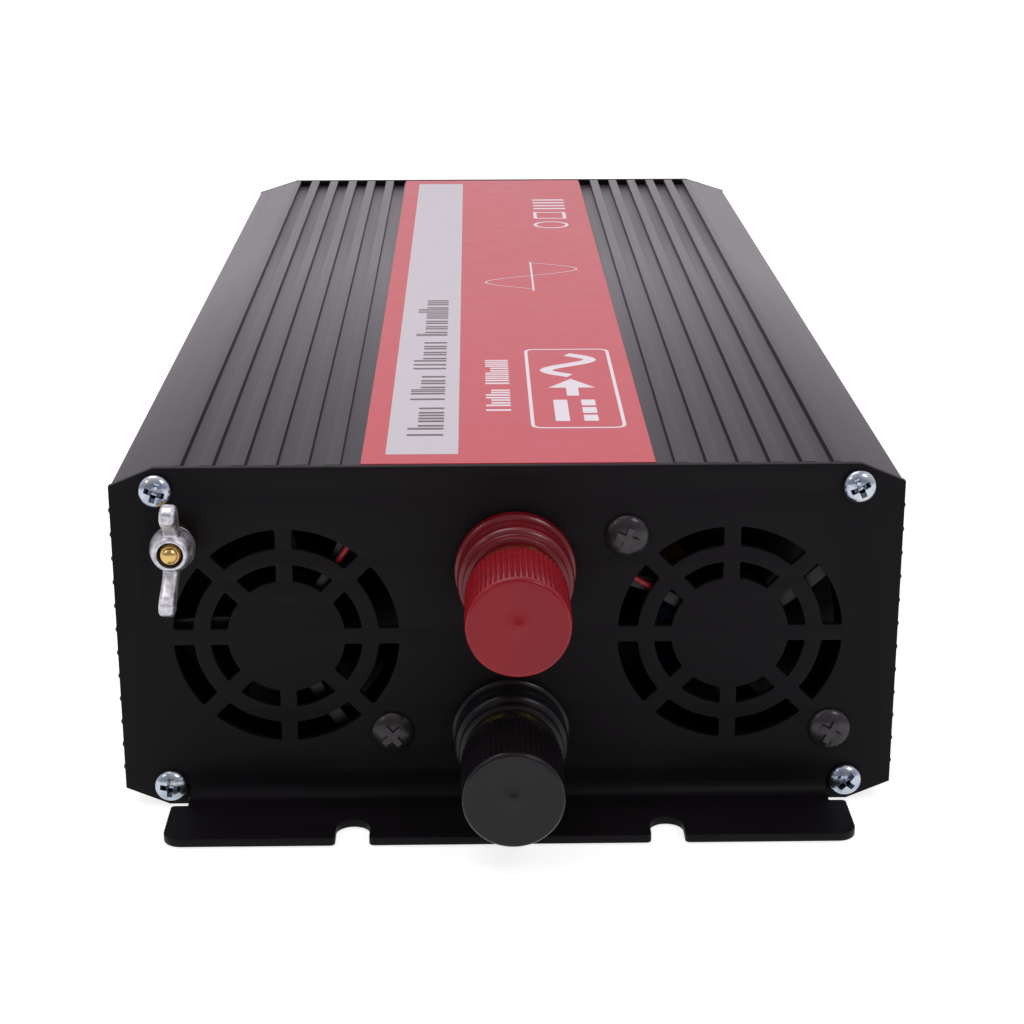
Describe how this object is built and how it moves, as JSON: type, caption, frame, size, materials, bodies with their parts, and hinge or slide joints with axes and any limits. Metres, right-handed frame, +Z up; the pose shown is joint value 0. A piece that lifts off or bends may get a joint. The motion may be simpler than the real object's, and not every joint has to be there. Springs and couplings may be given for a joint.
{
  "type": "power inverter",
  "caption": "Battery-to-mains power inverter: ribbed extruded case, folded end plates with mounting flanges, grilled fans, screw battery posts and an earth wing nut.",
  "frame": {"origin": "on the ground under the middle of the whole object, flange undersides at Z = 0", "axes": "+X to the right seen from the battery end, +Y from the battery end to the mains end, +Z up"},
  "size_m": [0.1884, 0.4576, 0.086],
  "materials": {
    "case_extrusion": "dark grey anodised, satin, with fine draw lines along the length",
    "plate_black": "matte black powder coat",
    "label_vinyl": "satin printed vinyl, red with a pale grey band",
    "zinc_steel": "bright zinc plated, slightly blue",
    "fan_plastic": "moulded black, satin",
    "wire_red": "soft red insulation",
    "black_screw_steel": "black oxide, semi-gloss",
    "brass": "plain brass, turned",
    "cast_zinc": "die-cast zinc, tumbled",
    "red_plastic": "moulded dark red, satin-gloss",
    "black_plastic": "moulded black, satin-gloss",
    "copper": "tinned and bare copper strip",
    "circuit_board": "green solder mask",
    "insulating_card": "pressed insulating card",
    "ferrite": "dark sintered ferrite",
    "winding_tape": "yellow polyester tape",
    "bar_aluminium": "mill finish",
    "capacitor_sleeve": "shrink sleeve, dark",
    "choke_winding": "enamelled copper wire",
    "fuse_plastic": "translucent moulded body",
    "socket_plastic": "moulded black, fine texture",
    "rocker_plastic": "moulded red, glossy",
    "green_lens": "clear coloured lens",
    "red_lens": "clear coloured lens"
  },
  "bodies": {
    "case": {"top_shell": "case_extrusion", "bottom_shell": "case_extrusion", "front_plate": "plate_black", "rear_plate": "plate_black", "rating_label": "label_vinyl", "front_screw_1": "zinc_steel", "front_screw_2": "zinc_steel", "front_screw_3": "zinc_steel", "front_screw_4": "zinc_steel", "rear_screw_1": "zinc_steel", "rear_screw_2": "zinc_steel", "rear_screw_3": "zinc_steel", "rear_screw_4": "zinc_steel", "fan_frame_left": "fan_plastic", "fan_frame_right": "fan_plastic", "fan_lead_left": "wire_red", "fan_lead_right": "wire_red", "fan_screw_1": "black_screw_steel", "fan_screw_2": "black_screw_steel", "fan_screw_3": "black_screw_steel", "ground_stud": "brass", "ground_nut": "brass", "red_post_stud": "brass", "black_post_stud": "brass", "red_post_nut": "zinc_steel", "black_post_nut": "zinc_steel", "red_post_base": "red_plastic", "red_insulator": "red_plastic", "black_post_base": "black_plastic", "black_insulator": "black_plastic", "red_busbar": "copper", "black_busbar": "copper", "main_board": "circuit_board", "driver_board": "circuit_board", "insulating_sheet": "insulating_card", "transformer_core_left": "ferrite", "transformer_core_right": "ferrite", "transformer_winding_left": "winding_tape", "transformer_winding_right": "winding_tape", "heat_bar_left": "bar_aluminium", "heat_bar_right": "bar_aluminium", "bus_capacitor_1": "capacitor_sleeve", "bus_capacitor_2": "capacitor_sleeve", "output_choke": "choke_winding", "fuse_left": "fuse_plastic", "fuse_right": "fuse_plastic", "mains_socket_outer": "socket_plastic", "mains_socket_inner": "socket_plastic", "switch_housing": "socket_plastic", "power_light": "green_lens", "fault_light": "red_lens"},
    "left_fan_rotor": {"fan_rotor_left": "fan_plastic"},
    "right_fan_rotor": {"fan_rotor_right": "fan_plastic"},
    "red_clamp": {"red_clamp_ring": "brass"},
    "red_cap": {"red_cap": "red_plastic"},
    "black_clamp": {"black_clamp_ring": "brass"},
    "black_cap": {"black_cap": "black_plastic"},
    "earth_washer": {"ground_washer": "zinc_steel"},
    "earth_wing_nut": {"wing_nut": "cast_zinc"},
    "power_rocker": {"switch_rocker": "rocker_plastic"}
  },
  "joints": [
    {"name": "left_fan_spin", "type": "hinge", "parent": "case", "child": "left_fan_rotor", "pos_m": [-0.0531, -0.17085, 0.0437], "axis": [0, 1, 0], "continuous": true},
    {"name": "right_fan_spin", "type": "hinge", "parent": "case", "child": "right_fan_rotor", "pos_m": [0.0531, -0.17085, 0.0437], "axis": [0, 1, 0], "continuous": true},
    {"name": "red_cap_travel", "type": "slide", "parent": "case", "child": "red_clamp", "axis": [0, -1, 0], "range_m": [0, 0.0075]},
    {"name": "red_cap_turn", "type": "hinge", "parent": "red_clamp", "child": "red_cap", "pos_m": [0.0016, -0.21815, 0.0606], "axis": [0, -1, 0], "range_deg": [0, 2160]},
    {"name": "black_cap_travel", "type": "slide", "parent": "case", "child": "black_clamp", "axis": [0, -1, 0], "range_m": [0, 0.0075]},
    {"name": "black_cap_turn", "type": "hinge", "parent": "black_clamp", "child": "black_cap", "pos_m": [0.0005, -0.21815, 0.0188], "axis": [0, -1, 0], "range_deg": [0, 2160]},
    {"name": "wing_nut_travel", "type": "slide", "parent": "case", "child": "earth_washer", "axis": [0, -1, 0], "range_m": [0, 0.0032]},
    {"name": "wing_nut_turn", "type": "hinge", "parent": "earth_washer", "child": "earth_wing_nut", "pos_m": [-0.0781, -0.19845, 0.0687], "axis": [0, -1, 0], "range_deg": [0, 1440]},
    {"name": "power_switch_rock", "type": "hinge", "parent": "case", "child": "power_rocker", "pos_m": [-0.046, 0.20335, 0.056], "axis": [0, 0, 1], "range_deg": [-16, 0]}
  ],
  "couplings": [
    {"joint": "red_cap_turn", "follows": "red_cap_travel", "rad_per_m": 5026.5},
    {"joint": "black_cap_turn", "follows": "black_cap_travel", "rad_per_m": 5026.5},
    {"joint": "wing_nut_turn", "follows": "wing_nut_travel", "rad_per_m": 7854}
  ]
}
